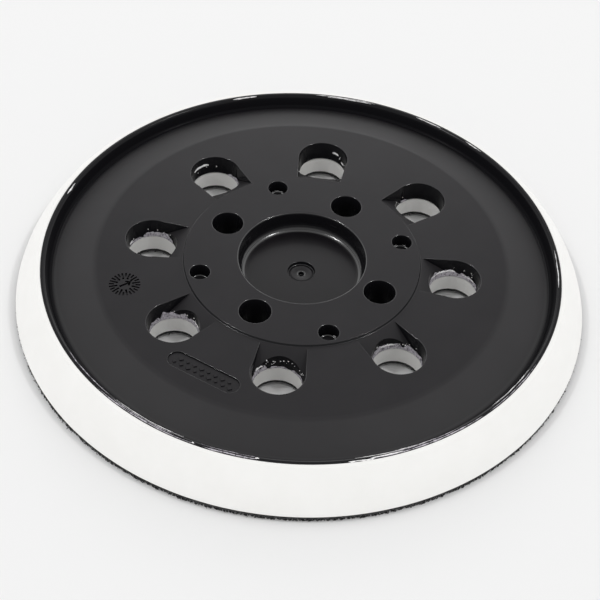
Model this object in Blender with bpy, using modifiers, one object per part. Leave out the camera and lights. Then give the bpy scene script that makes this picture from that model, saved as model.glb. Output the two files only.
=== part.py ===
"""Hook-and-loop backing pad of a random orbital sander, 123 mm across.

The pad lies flat on its hook face, with that face's middle at the origin and +Z towards the sander.
Four pieces are moulded or bonded into one: a nylon backing plate, a soft foam pad around and under
it, an adhesive film and a disc of hook fabric. One of the four screw holes is on +X.
"""

import math

import bmesh
import bpy
from mathutils import Matrix, Vector

MM = 0.001
GAP = 0.25 * MM

# The foam pad and what it carries.
PAD_RADIUS = 61.5 * MM
PAD_SHOULDER_RADIUS = 56.5 * MM
PAD_SIDE_BULGE = 0.6 * MM
HOOK_DISC_THICKNESS = 0.95 * MM
FILM_BOTTOM = HOOK_DISC_THICKNESS + 0.2 * MM
FILM_THICKNESS = 0.2 * MM
FILM_RADIUS = 60.8 * MM
FOAM_BOTTOM = FILM_BOTTOM + FILM_THICKNESS + 0.2 * MM

# The backing plate, from its rim inwards.
RIM_RADIUS = 55.6 * MM
RIM_TOP = 10.45 * MM
RIM_WIDTH = 0.95 * MM
RIM_BOTTOM = 4.9 * MM
TROUGH_RADIUS = 53.2 * MM
TROUGH_FLOOR = 7.7 * MM
CREASE_RADIUS = 44.4 * MM
FLOOR = 9.85 * MM
SKIN = 2.6 * MM
HUB_RADIUS = 25.5 * MM
HUB_TOP = 10.3 * MM
RECESS_RADIUS = 13.6 * MM
RECESS_FLOOR = 5.85 * MM
RECESS_FILLET = 1.8 * MM
RECESS_EDGE = 0.5 * MM
RECESS_CUP_RADIUS = 16.2 * MM
GATE_MARK_RADIUS = 3.0 * MM
GATE_MARK_DEPTH = 0.8 * MM

# Holes.
DUST_HOLES = 8
DUST_CIRCLE_RADIUS = 32.9 * MM
DUST_TOP_RADIUS = 5.6 * MM
DUST_RADIUS = 5.2 * MM
DUST_SLEEVE_RADIUS = 7.4 * MM
DUST_SLEEVE_BOTTOM = 5.5 * MM
SCOOP_SLOPE = math.radians(33)
SCOOP_START_HALF_WIDTH = 4.8 * MM
SCREWS = 4
SCREW_CIRCLE_RADIUS = 19.0 * MM
SCREW_SOCKET_RADIUS = 3.35 * MM
SCREW_BOSS_RADIUS = 5.6 * MM
SCREW_BOSS_BOTTOM = 3.0 * MM
SCREW_HEAD_RADIUS = 4.1 * MM
LOCATING_CIRCLE_RADIUS = 22.35 * MM
LOCATING_RADIUS = 2.15 * MM
LOCATING_FLOOR = 7.2 * MM
LOCATING_BOSS_RADIUS = 4.0 * MM
LOCATING_BOSS_BOTTOM = 5.5 * MM

DUST_ANGLES = [math.radians(22.5 + 360 / DUST_HOLES * i) for i in range(DUST_HOLES)]
SCREW_ANGLES = [math.radians(360 / SCREWS * i) for i in range(SCREWS)]
LOCATING_ANGLES = [angle + math.radians(45) for angle in SCREW_ANGLES]

# Facets.
TURNED_STEPS = 72
HOLE_SIDES = 24
SMALL_HOLE_SIDES = 16
PAST = 1.0 * MM
SHARP_ANGLE = math.radians(35)


def clear_scene():
    for obj in list(bpy.data.objects):
        bpy.data.objects.remove(obj, do_unlink=True)


def new_collection(name):
    collection = bpy.data.collections.new(name)
    bpy.context.scene.collection.children.link(collection)
    return collection


def material(name, colour, roughness, metallic=0.0):
    made = bpy.data.materials.new(name)
    made.use_nodes = True
    shader = made.node_tree.nodes["Principled BSDF"]
    shader.inputs["Base Color"].default_value = (*colour, 1.0)
    shader.inputs["Roughness"].default_value = roughness
    shader.inputs["Metallic"].default_value = metallic
    return made


def arc(centre, radius, start, end, steps):
    """Points of an arc in the profile's plane, from one angle in degrees to another."""
    angles = [math.radians(start + (end - start) * i / steps) for i in range(steps + 1)]
    return [(centre[0] + radius * math.cos(a), centre[1] + radius * math.sin(a)) for a in angles]


def turned(name, profile, collection, steps=TURNED_STEPS):
    """A body turned about Z from (radius, height) points that start and end on the axis."""
    mesh = bpy.data.meshes.new(name)
    points = [(radius, 0.0, height) for radius, height in profile]
    mesh.from_pydata(points, [(i, i + 1) for i in range(len(points) - 1)], [])
    obj = bpy.data.objects.new(name, mesh)
    collection.objects.link(obj)
    screw = obj.modifiers.new("Turn", "SCREW")
    screw.steps = steps
    screw.render_steps = steps
    screw.use_merge_vertices = True
    screw.merge_threshold = 0.00001
    screw.use_smooth_shade = True
    return obj


def on_circle(radius, angle, height=0.0):
    return Vector((radius * math.cos(angle), radius * math.sin(angle), height))


def add_cylinders(shape, circle_radius, angles, bottom, top, low_radius, high_radius, sides):
    """Upright cylinders or cones on a circle, as separate closed bodies in one mesh."""
    for angle in angles:
        middle = on_circle(circle_radius, angle, (bottom + top) / 2)
        bmesh.ops.create_cone(
            shape,
            cap_ends=True,
            segments=sides,
            radius1=low_radius,
            radius2=high_radius,
            depth=top - bottom,
            matrix=Matrix.Translation(middle),
        )


def add_scoop(shape, angle):
    """A wedge that starts at nothing on the hub's edge and deepens outwards to the hole's middle."""
    slope = math.tan(SCOOP_SLOPE)
    start = math.asin(SCOOP_START_HALF_WIDTH / HUB_RADIUS)
    inner = [on_circle(HUB_RADIUS, start * (1 - i / 3)) for i in range(7)]
    outer = [Vector((DUST_CIRCLE_RADIUS, side * DUST_TOP_RADIUS, 0)) for side in (-1, 1)]
    face = shape.faces.new([shape.verts.new(point) for point in inner + outer])
    lifted = bmesh.ops.extrude_face_region(shape, geom=[face])["geom"]
    top = [item for item in lifted if isinstance(item, bmesh.types.BMVert)]
    bottom = list(face.verts)
    for vert in bottom:
        vert.co.z = FLOOR - (vert.co.x - HUB_RADIUS) * slope
    for vert in top:
        vert.co.z = HUB_TOP + PAST
    bmesh.ops.rotate(shape, verts=top + bottom, cent=(0, 0, 0), matrix=Matrix.Rotation(angle, 3, "Z"))


def mesh_object(name, shape, collection):
    bmesh.ops.recalc_face_normals(shape, faces=shape.faces)
    mesh = bpy.data.meshes.new(name)
    shape.to_mesh(mesh)
    shape.free()
    obj = bpy.data.objects.new(name, mesh)
    collection.objects.link(obj)
    return obj


def helper(name, shape, collection):
    """A cutter or an addition for a Boolean, which isn't a piece of its own."""
    obj = mesh_object(name, shape, collection)
    obj.hide_render = True
    obj.display_type = "WIRE"
    return obj


def combine(obj, other, operation):
    boolean = obj.modifiers.new(f"{operation.title()} {other.name}", "BOOLEAN")
    boolean.operation = operation
    boolean.solver = "EXACT"
    boolean.object = other


def finish(obj, surface):
    obj.data.materials.append(surface)
    obj.data.shade_smooth()
    obj.data.set_sharp_from_angle(angle=SHARP_ANGLE)


def plate_profile():
    """From the middle of the recess over the hub, floor and rim, and back under the skin."""
    gate_floor = RECESS_FLOOR - GATE_MARK_DEPTH
    gate = [(0, gate_floor), (GATE_MARK_RADIUS, gate_floor), (GATE_MARK_RADIUS, RECESS_FLOOR)]
    fillet_middle = (RECESS_RADIUS - RECESS_FILLET, RECESS_FLOOR + RECESS_FILLET)
    edge_middle = (RECESS_RADIUS + RECESS_EDGE, HUB_TOP - RECESS_EDGE)
    hub = [(HUB_RADIUS - 0.3 * MM, HUB_TOP), (HUB_RADIUS, HUB_TOP - 0.15 * MM), (HUB_RADIUS, FLOOR)]
    rim_inside = RIM_RADIUS - RIM_WIDTH
    trough = [
        (CREASE_RADIUS, FLOOR),
        (TROUGH_RADIUS, TROUGH_FLOOR),
        (TROUGH_RADIUS + 0.7 * MM, TROUGH_FLOOR + 0.25 * MM),
        (rim_inside - 0.25 * MM, TROUGH_FLOOR + 1.1 * MM),
        (rim_inside, RIM_TOP - 0.3 * MM),
        (rim_inside + 0.3 * MM, RIM_TOP),
        (RIM_RADIUS - 0.25 * MM, RIM_TOP),
        (RIM_RADIUS, RIM_TOP - 0.25 * MM),
    ]
    under = [
        (RIM_RADIUS, RIM_BOTTOM),
        (TROUGH_RADIUS, TROUGH_FLOOR - SKIN),
        (CREASE_RADIUS, FLOOR - SKIN),
        (RECESS_CUP_RADIUS, FLOOR - SKIN),
        (RECESS_CUP_RADIUS, RECESS_FLOOR - SKIN),
        (0, RECESS_FLOOR - SKIN),
    ]
    recess = arc(fillet_middle, RECESS_FILLET, -90, 0, 4) + arc(edge_middle, RECESS_EDGE, 180, 90, 3)
    return gate + recess + hub + trough + under


def make_backing_plate(parts, helpers):
    plate = turned("backing_plate", plate_profile(), parts)

    bosses = bmesh.new()
    inside_skin = FLOOR - SKIN / 2
    add_cylinders(
        bosses, DUST_CIRCLE_RADIUS, DUST_ANGLES, DUST_SLEEVE_BOTTOM, inside_skin,
        DUST_SLEEVE_RADIUS, DUST_SLEEVE_RADIUS, HOLE_SIDES,
    )
    add_cylinders(
        bosses, LOCATING_CIRCLE_RADIUS, LOCATING_ANGLES, LOCATING_BOSS_BOTTOM, inside_skin,
        LOCATING_BOSS_RADIUS, LOCATING_BOSS_RADIUS, SMALL_HOLE_SIDES,
    )
    combine(plate, helper("sleeves", bosses, helpers), "UNION")

    bosses = bmesh.new()
    add_cylinders(
        bosses, SCREW_CIRCLE_RADIUS, SCREW_ANGLES, SCREW_BOSS_BOTTOM, inside_skin,
        SCREW_BOSS_RADIUS, SCREW_BOSS_RADIUS, SMALL_HOLE_SIDES,
    )
    combine(plate, helper("screw_bosses", bosses, helpers), "UNION")

    holes = bmesh.new()
    taper = (DUST_TOP_RADIUS - DUST_RADIUS) / (FLOOR - DUST_SLEEVE_BOTTOM) * PAST
    add_cylinders(
        holes, DUST_CIRCLE_RADIUS, DUST_ANGLES, DUST_SLEEVE_BOTTOM - PAST, FLOOR + PAST,
        DUST_RADIUS - taper, DUST_TOP_RADIUS + taper, HOLE_SIDES,
    )
    add_cylinders(
        holes, SCREW_CIRCLE_RADIUS, SCREW_ANGLES, SCREW_BOSS_BOTTOM - PAST, HUB_TOP + PAST,
        SCREW_SOCKET_RADIUS, SCREW_SOCKET_RADIUS, SMALL_HOLE_SIDES,
    )
    add_cylinders(
        holes, LOCATING_CIRCLE_RADIUS, LOCATING_ANGLES, LOCATING_FLOOR, HUB_TOP + PAST,
        LOCATING_RADIUS, LOCATING_RADIUS, SMALL_HOLE_SIDES,
    )
    combine(plate, helper("hole_cutters", holes, helpers), "DIFFERENCE")

    scoops = bmesh.new()
    for angle in DUST_ANGLES:
        add_scoop(scoops, angle)
    combine(plate, helper("scoop_cutters", scoops, helpers), "DIFFERENCE")
    finish(plate, material("black nylon", (0.035, 0.034, 0.036), 0.45))


def foam_side():
    """The pad's outer side, an arc that bulges a little, from its shoulder to its foot."""
    top = Vector((PAD_SHOULDER_RADIUS, RIM_TOP - GAP))
    foot = Vector((PAD_RADIUS, FOAM_BOTTOM))
    outwards = Vector((top.y - foot.y, foot.x - top.x)).normalized()
    steps = 5
    points = []
    for i in range(steps + 1):
        share = i / steps
        bulge = 4 * PAD_SIDE_BULGE * share * (1 - share)
        points.append(tuple(top.lerp(foot, share) + outwards * bulge))
    return points


def make_foam_pad(parts, helpers):
    inside = [
        (0, RECESS_FLOOR - SKIN - GAP),
        (RECESS_CUP_RADIUS + GAP, RECESS_FLOOR - SKIN - GAP),
        (RECESS_CUP_RADIUS + GAP, FLOOR - SKIN - GAP),
        (CREASE_RADIUS, FLOOR - SKIN - GAP),
        (TROUGH_RADIUS, TROUGH_FLOOR - SKIN - GAP),
        (RIM_RADIUS + GAP, RIM_BOTTOM - GAP),
        (RIM_RADIUS + GAP, RIM_TOP - GAP),
    ]
    foam = turned("foam_pad", inside + foam_side() + [(0, FOAM_BOTTOM)], parts)

    holes = bmesh.new()
    add_cylinders(
        holes, DUST_CIRCLE_RADIUS, DUST_ANGLES, FOAM_BOTTOM - PAST, FLOOR,
        DUST_RADIUS, DUST_RADIUS, HOLE_SIDES,
    )
    add_cylinders(
        holes, SCREW_CIRCLE_RADIUS, SCREW_ANGLES, FOAM_BOTTOM - PAST, FLOOR,
        SCREW_HEAD_RADIUS, SCREW_HEAD_RADIUS, SMALL_HOLE_SIDES,
    )
    add_cylinders(
        holes, LOCATING_CIRCLE_RADIUS, LOCATING_ANGLES, LOCATING_BOSS_BOTTOM - GAP, FLOOR,
        LOCATING_BOSS_RADIUS + GAP, LOCATING_BOSS_RADIUS + GAP, SMALL_HOLE_SIDES,
    )
    combine(foam, helper("foam_hole_cutters", holes, helpers), "DIFFERENCE")

    holes = bmesh.new()
    add_cylinders(
        holes, DUST_CIRCLE_RADIUS, DUST_ANGLES, DUST_SLEEVE_BOTTOM - GAP, FLOOR,
        DUST_SLEEVE_RADIUS + GAP, DUST_SLEEVE_RADIUS + GAP, HOLE_SIDES,
    )
    add_cylinders(
        holes, SCREW_CIRCLE_RADIUS, SCREW_ANGLES, SCREW_BOSS_BOTTOM - GAP, FLOOR,
        SCREW_BOSS_RADIUS + GAP, SCREW_BOSS_RADIUS + GAP, SMALL_HOLE_SIDES,
    )
    combine(foam, helper("foam_boss_cutters", holes, helpers), "DIFFERENCE")
    finish(foam, material("white foam", (0.9, 0.9, 0.87), 0.85))


def make_disc(name, radius, bottom, top, dust_radius, screw_radius, surface, parts, helpers):
    """A flat round sheet with the eight dust holes and the four screw holes punched through."""
    disc = turned(name, [(0, top), (radius, top), (radius, bottom), (0, bottom)], parts)
    holes = bmesh.new()
    add_cylinders(
        holes, DUST_CIRCLE_RADIUS, DUST_ANGLES, bottom - PAST, top + PAST,
        dust_radius, dust_radius, HOLE_SIDES,
    )
    add_cylinders(
        holes, SCREW_CIRCLE_RADIUS, SCREW_ANGLES, bottom - PAST, top + PAST,
        screw_radius, screw_radius, SMALL_HOLE_SIDES,
    )
    combine(disc, helper(f"{name}_cutters", holes, helpers), "DIFFERENCE")
    finish(disc, surface)


def main():
    clear_scene()
    parts = new_collection("sanding_backing_pad")
    helpers = new_collection("cutters")
    make_backing_plate(parts, helpers)
    make_foam_pad(parts, helpers)
    make_disc(
        "adhesive_film", FILM_RADIUS, FILM_BOTTOM, FILM_BOTTOM + FILM_THICKNESS,
        DUST_RADIUS + GAP, SCREW_HEAD_RADIUS + GAP, material("hot-melt film", (0.04, 0.04, 0.04), 0.4),
        parts, helpers,
    )
    make_disc(
        "hook_disc", PAD_RADIUS, 0, HOOK_DISC_THICKNESS,
        DUST_RADIUS, SCREW_HEAD_RADIUS, material("black hook fabric", (0.015, 0.015, 0.016), 0.9),
        parts, helpers,
    )


main()
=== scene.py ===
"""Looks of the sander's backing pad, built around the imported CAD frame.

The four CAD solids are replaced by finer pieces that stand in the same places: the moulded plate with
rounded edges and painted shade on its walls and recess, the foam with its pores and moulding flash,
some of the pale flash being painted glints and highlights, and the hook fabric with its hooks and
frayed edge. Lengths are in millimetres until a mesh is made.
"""

import math
import random

import bmesh
import bpy
from mathutils import Matrix, Vector, noise


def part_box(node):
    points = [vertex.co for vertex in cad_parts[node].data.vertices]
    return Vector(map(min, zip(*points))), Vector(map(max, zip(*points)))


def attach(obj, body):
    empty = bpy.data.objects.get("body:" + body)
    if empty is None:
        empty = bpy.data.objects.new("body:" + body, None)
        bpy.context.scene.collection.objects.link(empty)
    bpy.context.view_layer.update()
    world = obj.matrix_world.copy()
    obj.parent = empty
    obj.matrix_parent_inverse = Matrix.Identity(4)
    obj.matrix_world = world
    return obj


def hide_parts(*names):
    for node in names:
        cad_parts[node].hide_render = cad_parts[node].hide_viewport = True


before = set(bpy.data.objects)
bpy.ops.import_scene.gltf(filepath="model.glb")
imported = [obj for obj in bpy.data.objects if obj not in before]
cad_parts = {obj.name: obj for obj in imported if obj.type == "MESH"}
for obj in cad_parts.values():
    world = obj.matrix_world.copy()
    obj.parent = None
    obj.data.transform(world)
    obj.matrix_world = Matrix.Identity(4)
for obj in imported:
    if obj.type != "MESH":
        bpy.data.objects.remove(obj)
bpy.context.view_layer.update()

MM = 0.001
BODY = "root"


def highest_corner(node):
    """The highest corner of a CAD node's box, in millimetres."""
    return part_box(node)[1] / MM


plate_high = highest_corner("backing_plate")
foam_high = highest_corner("foam_pad")
film_high = highest_corner("adhesive_film")

# The plate's shape. Its rim and height come from the frame, and the rest repeats the CAD design.
RIM_RADIUS = plate_high.x
RIM_TOP = plate_high.z
RIM_INSIDE = RIM_RADIUS - 1.0
RIM_BOTTOM = 4.9
TROUGH_RADIUS, TROUGH_FLOOR = 53.75, 7.57
TROUGH_UNDER_RADIUS, TROUGH_UNDERSIDE = 53.2, 5.1
CREASE_RADIUS = 44.4
FLOOR = 9.85
SKIN_UNDERSIDE = 7.25
HUB_RADIUS, HUB_TOP = 25.5, 10.3
RECESS_RADIUS, RECESS_FLOOR, RECESS_UNDERSIDE = 13.6, 5.85, 3.25
CUP_RADIUS = 16.2
RECESS_FILLET, RECESS_EDGE = 1.8, 0.45
GATE_RADIUS, GATE_FLOOR = 3.0, 5.05
GATE_PIT_FLOOR = GATE_FLOOR - 0.75

DUST_CIRCLE, DUST_TOP_RADIUS, DUST_RADIUS = 32.9, 5.6, 5.2
SLEEVE_RADIUS, SLEEVE_BOTTOM = 7.4, 5.5
SCREW_CIRCLE, SOCKET_RADIUS, SCREW_HEAD_RADIUS = 19.0, 3.35, 4.1
BOSS_RADIUS, BOSS_BOTTOM = 5.6, 3.0
LOCATING_CIRCLE, LOCATING_RADIUS, LOCATING_FLOOR, LOCATING_BOSS_RADIUS = 22.35, 2.15, 7.2, 4.0
BOSS_TOP = FLOOR - 1.3
SCOOP_SLOPE = math.radians(33)
DUST_ANGLES = [math.radians(22.5 + 45 * i) for i in range(8)]
SCREW_ANGLES = [math.radians(90 * i) for i in range(4)]
LOCATING_ANGLES = [angle + math.radians(45) for angle in SCREW_ANGLES]
# The sleeves and bosses under the plate. Each row: circle, angles, radius, bottom.
BOSSES = (
    (DUST_CIRCLE, DUST_ANGLES, SLEEVE_RADIUS, SLEEVE_BOTTOM),
    (LOCATING_CIRCLE, LOCATING_ANGLES, LOCATING_BOSS_RADIUS, SLEEVE_BOTTOM),
    (SCREW_CIRCLE, SCREW_ANGLES, BOSS_RADIUS, BOSS_BOTTOM),
)

DIAL_CIRCLE, DIAL_ANGLE = 38.4, math.radians(135)
DIAL_RADIUS, DIAL_TICKS, DIAL_DOTS = 3.3, 24, 12
TICK_LENGTHS, TICK_WIDTH, TICK_DEPTH = (1.05, 1.35), 0.38, 0.32
DOT_CIRCLE, DOT_WIDTH, DOT_DEPTH = 1.75, 0.42, 0.5
FIELD_CIRCLE, FIELD_ANGLE = 38.3, math.radians(180)
FIELD_LENGTH, FIELD_WIDTH, FIELD_DEPTH, FIELD_EDGE = 16.5, 4.0, 0.34, 0.12
FIELD_MARKS, FIELD_PITCH, FIELD_ROW = 17, 0.82, 0.62

# The foam and the hook face.
PAD_RADIUS = foam_high.x
FOAM_TOP = foam_high.z + 0.15
FOAM_SHOULDER = 56.55
FOAM_BOTTOM = film_high.z + 0.1
FOAM_GAP = 0.25
FOAM_UNDER_TROUGH, FOAM_UNDER_RIM = 4.87, 4.65
HOLLOW_TOP = 8.0
SIDE_BULGE, SIDE_STEPS = 0.6, 28
FILM_UNDERSIDE = 1.14
GROUND_TOP, GROUND_BOTTOM = 1.12, 0.8
HOOK_PITCH = 1.5
THREAD_SIDES = 3
# Rings of hooks along the fabric's edge. Each row: how far in from the edge, pitch.
EDGE_RINGS = (0.25, 0.28), (0.7, 0.36)
# Threads fray mostly round this angle, in degrees from +X.
FRAYED_SIDE, FRAYED_SPREAD = 170, 28
FRAY_TRIES, FRAY_LOWEST = 600, 0.06

# What the moulding left. Dust holes count from the one at 22.5 degrees, and angles count from the front
# view's right, so 90 degrees is the far side. Each row: hole, start, end, foot, rise, seed.
STAINED_FLASH = (
    (1, 8, 62, 5.42, 0.75, 3.1),
    (2, 38, 118, 5.42, 1.35, 7.7), (2, 122, 158, 5.42, 0.5, 2.4),
    (3, 4, 62, 5.45, 1.1, 5.2), (3, 58, 132, 5.45, 1.5, 8.9), (3, 126, 172, 5.45, 1.0, 1.3),
    (4, 118, 170, 5.45, 1.3, 4.4), (4, 12, 60, 5.42, 0.55, 6.1), (4, 70, 112, 5.42, 0.4, 9.5),
    (5, 6, 78, 5.5, 1.15, 2.2), (5, 72, 168, 5.5, 1.35, 6.6),
    (6, 10, 76, 5.5, 1.35, 9.1), (6, 70, 166, 5.5, 1.6, 4.7),
    (7, 118, 140, 5.42, 0.45, 1.9),
)
# Pale flash on the holes' walls, partly foam and partly painted glints. Each row as above.
WHITE_FLASH_AND_GLINTS = (
    (1, 112, 158, 7.75, 0.42, 1.5), (0, 48, 66, 7.5, 0.4, 5.8), (0, 22, 34, 6.3, 0.35, 3.6),
    (2, 150, 166, 5.9, 0.4, 4.1), (4, 128, 150, 6.7, 0.4, 2.8), (5, 96, 136, 6.55, 0.25, 7.3),
    (6, 84, 150, 6.75, 0.3, 8.2), (6, 30, 66, 6.3, 0.22, 3.9), (3, 20, 50, 6.3, 0.25, 6.9),
)
# Pale skins on the rim's lip, partly foam and partly painted glints. Each row: start, end, radius, width,
# rise, seed.
LIP_SKINS_AND_GLINTS = (
    (104, 110, 54.78, 0.34, 0.05, 1.1), (74, 89, 55.05, 0.26, 0.05, 2.7),
    (75, 86, 54.8, 0.16, 0.04, 5.4), (56, 63, 54.95, 0.3, 0.05, 3.2),
    (43.5, 48.5, 55.0, 0.3, 0.05, 4.9), (355, 367, 54.95, 0.26, 0.05, 6.3),
    (160, 164, 54.85, 0.36, 0.06, 7.8), (231, 248, 54.8, 0.16, 0.04, 9.9),
    (263.2, 264, 55.2, 0.6, 0.06, 4.2), (250, 250.6, 55.3, 0.4, 0.06, 5.0),
    (281.5, 287, 55.5, 0.3, 0.06, 5.7), (286, 293, 55.3, 0.5, 0.06, 7.1),
    (283, 300, 54.85, 0.14, 0.04, 6.8), (315.5, 329, 54.85, 0.18, 0.05, 9.2),
)
# Stained skins of foam, along the front of the lip.
STAINED_SKINS = (
    (214, 229, 54.9, 0.2, 0.04, 8.5), (226, 251, 55.42, 0.34, 0.04, 1.8),
    (230, 246, 55.08, 0.2, 0.04, 2.4), (252, 264, 54.9, 0.16, 0.04, 2.9),
    (252.5, 263.6, 55.36, 0.4, 0.05, 3.7), (286, 312, 55.4, 0.42, 0.05, 8.3),
    (290, 306, 55.0, 0.24, 0.04, 6.2), (314, 331, 55.4, 0.24, 0.04, 1.4),
)
# Crumbs of foam on the holes' walls. Each row: hole, first angle, last angle, lowest, highest, how many.
CRUMBS = (
    (4, 55, 125, 6.3, 7.9, 16), (4, 20, 60, 6.0, 7.4, 7), (2, 135, 172, 5.8, 7.0, 7),
    (2, 40, 110, 6.8, 7.6, 5), (3, 30, 150, 6.4, 7.4, 9), (5, 30, 150, 6.5, 7.5, 8),
    (6, 30, 150, 6.8, 8.0, 7), (0, 15, 75, 6.2, 7.8, 4), (7, 120, 165, 5.9, 7.2, 4),
    (1, 90, 165, 6.8, 7.6, 4),
)
# How far the front view's right is turned from +X, in degrees.
PLAN_TURN = -61.57

TURNED_SEGMENTS = 256
FOAM_SEGMENTS = 360
FOAM_WALL_SEGMENTS = 128
GROUND_SEGMENTS = 720
HOLE_SEGMENTS = 64
# How far a cutter's shoulder stands above the face that it cuts.
CLEAR = 0.004

# The photograph's viewpoint. Azimuths count from +X, and a positive roll turns the camera anticlockwise.
CAMERA_AZIMUTH = math.radians(-151.57)
CAMERA_ELEVATION = 0.811
CAMERA_ROLL = 0.061
CAMERA_DISTANCE = 323.58
CAMERA_TARGET = (-2.64, -1.53, 0.0)
CAMERA_LENS = 89.0
SENSOR_WIDTH = 36.0


def on_circle(radius, angle, height=0.0):
    """The point at this distance and angle from an upright axis."""
    return Vector((radius * math.cos(angle), radius * math.sin(angle), height))


def heading(angle):
    """The unit vector in plan that points this way."""
    return Vector((math.cos(angle), math.sin(angle)))


def direction(azimuth, elevation):
    """The unit vector that points this way from the pad."""
    return Vector((
        math.cos(elevation) * math.cos(azimuth),
        math.cos(elevation) * math.sin(azimuth),
        math.sin(elevation),
    ))


def rounded(corners, step):
    """The outline through corners (x, y, radius), with each corner rounded to its radius by an arc."""
    points = []
    for i, (x, y, radius) in enumerate(corners):
        corner = Vector((x, y))
        if not radius:
            points.append((x, y))
            continue
        back = (Vector(corners[i - 1][:2]) - corner).normalized()
        ahead = (Vector(corners[i + 1][:2]) - corner).normalized()
        half = back.angle(ahead) / 2
        centre = corner + (back + ahead).normalized() * radius / math.sin(half)
        start = corner + back * radius / math.tan(half) - centre
        sweep = start.angle_signed(corner + ahead * radius / math.tan(half) - centre)
        steps = max(2, round(abs(sweep) / step))
        for k in range(steps + 1):
            turned = Matrix.Rotation(-sweep * k / steps, 2) @ start
            points.append(tuple(centre + turned))
    return points


def lathe(shape, profile, segments, centre=(0.0, 0.0), wobble=None):
    """Turns (radius, height) points about an upright axis into a closed surface. The profile starts and
    ends on the axis. wobble(radius, angle, height) may return a changed (radius, height)."""
    rings = []
    for radius, height in profile:
        ring = []
        for k in range(segments if radius > 0 else 1):
            angle = math.tau * k / segments
            r, z = wobble(radius, angle, height) if wobble and radius > 0 else (radius, height)
            point = Vector((centre[0], centre[1], 0)) + on_circle(r, angle, z)
            ring.append(shape.verts.new(point * MM))
        rings.append(ring)
    for upper, lower in zip(rings, rings[1:]):
        if len(upper) == len(lower) == 1:
            continue
        for k in range(segments):
            following = (k + 1) % segments
            corners = [upper[k % len(upper)], lower[k % len(lower)]]
            for ring in (lower, upper):
                if len(ring) > 1:
                    corners.append(ring[following])
            shape.faces.new(corners)


def mesh_object(name, shape, smooth=True):
    """An object made from a shape, which is used up."""
    bmesh.ops.recalc_face_normals(shape, faces=shape.faces)
    mesh = bpy.data.meshes.new(name)
    shape.to_mesh(mesh)
    shape.free()
    if smooth:
        mesh.shade_smooth()
    obj = bpy.data.objects.new(name, mesh)
    bpy.context.scene.collection.objects.link(obj)
    return obj


def boolean(obj, shape, operation):
    """Cuts or joins the shape's closed surfaces, and keeps the result as obj's own mesh."""
    other = mesh_object("cutter", shape)
    modifier = obj.modifiers.new("Boolean", "BOOLEAN")
    modifier.operation = operation
    modifier.solver = "MANIFOLD"
    modifier.object = other
    bake_modifiers(obj)
    bpy.data.objects.remove(other)


def bake_modifiers(obj):
    """Makes what the modifiers give the object's own mesh."""
    graph = bpy.context.evaluated_depsgraph_get()
    mesh = bpy.data.meshes.new_from_object(obj.evaluated_get(graph))
    obj.modifiers.clear()
    obj.data = mesh


def finish_piece(obj, surface, sharp=math.radians(40), weighted=True):
    """Gives a piece its material, its shading and its place on the body."""
    obj.data.materials.clear()
    obj.data.materials.append(surface)
    obj.data.shade_smooth()
    obj.data.set_sharp_from_angle(angle=sharp)
    if weighted:
        normals = obj.modifiers.new("Normals", "WEIGHTED_NORMAL")
        normals.keep_sharp = True
        bake_modifiers(obj)
    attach(obj, BODY)
    return obj


def level_flats(obj):
    """Makes every flat top and every ramp shade flat right up to its rounded edges."""
    mesh = obj.data
    flat = {vert for face in mesh.polygons if face.normal.z > 0.9999 for vert in face.vertices}
    normals = [corner.vector.copy() for corner in mesh.corner_normals]
    for face in mesh.polygons:
        ramp = abs(face.normal.z - math.cos(SCOOP_SLOPE)) < 0.001
        for i in face.loop_indices:
            if ramp:
                normals[i] = face.normal.copy()
            elif mesh.loops[i].vertex_index in flat and normals[i].z > 0.4:
                normals[i] = Vector((0, 0, 1))
    mesh.normals_split_custom_set(normals)


def fractal(point, scale, octaves=3):
    """Smooth noise from about -1 to 1 whose lumps are about scale millimetres across."""
    return noise.fractal(Vector(point) / scale, 0.6, 2.0, octaves)


def trumpet(shape, circle_radius, angle, bottom, foot, radius, top, flare, foot_fillet=0.0):
    """A hole's cutter: a cylinder or cone with a rounded mouth, whose shoulder clears the face by a hair."""
    mouth = top + CLEAR
    corners = [(0, bottom, 0), (foot, bottom, foot_fillet), (radius, mouth, flare)]
    corners += [(radius + flare + 0.5, mouth, 0), (radius + flare + 0.5, mouth + 2, 0), (0, mouth + 2, 0)]
    lathe(shape, rounded(corners, math.radians(15)), HOLE_SEGMENTS, on_circle(circle_radius, angle))


def cylinder(shape, circle_radius, angle, bottom, top, radius):
    """An upright cylinder on a circle about the pad's axis."""
    outline = [(0, bottom), (radius, bottom), (radius, top), (0, top)]
    lathe(shape, outline, HOLE_SEGMENTS, on_circle(circle_radius, angle))


def loft(shape, rings):
    """A closed surface through rings of equally many points, with a flat face at each end."""
    made = [[shape.verts.new(Vector(point) * MM) for point in ring] for ring in rings]
    count = len(made[0])
    for lower, upper in zip(made, made[1:]):
        for k in range(count):
            following = (k + 1) % count
            shape.faces.new((lower[k], lower[following], upper[following], upper[k]))
    shape.faces.new(list(reversed(made[0])))
    shape.faces.new(made[-1])


def add_bar(shape, centre, size, angle, bottom, top):
    """A small upright block: centre and size in plan, its first side turned by an angle."""
    turn = Matrix.Rotation(angle, 2)
    corners = [(-0.5, -0.5), (0.5, -0.5), (0.5, 0.5), (-0.5, 0.5)]
    plan = [Vector(centre) + turn @ Vector((x * size[0], y * size[1])) for x, y in corners]
    loft(shape, [[(p.x, p.y, height) for p in plan] for height in (bottom, top)])


def stadium(centre, length, width, angle, height):
    """The outline of a round-ended slot."""
    steps = 10
    turn, points = Matrix.Rotation(angle, 2), []
    for side in (1, -1):
        for i in range(steps + 1):
            around = math.pi * (i / steps - 0.5) + (0 if side > 0 else math.pi)
            offset = heading(around) * width / 2
            point = Vector(centre) + turn @ (offset + Vector((side * (length - width) / 2, 0)))
            points.append((point.x, point.y, height))
    return points


# ---- The plate ----

# How far the dust holes' and the scoops' rounded edges open out.
EDGE_FLARE = 0.18
SCOOP_FLARE = 0.1


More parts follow.
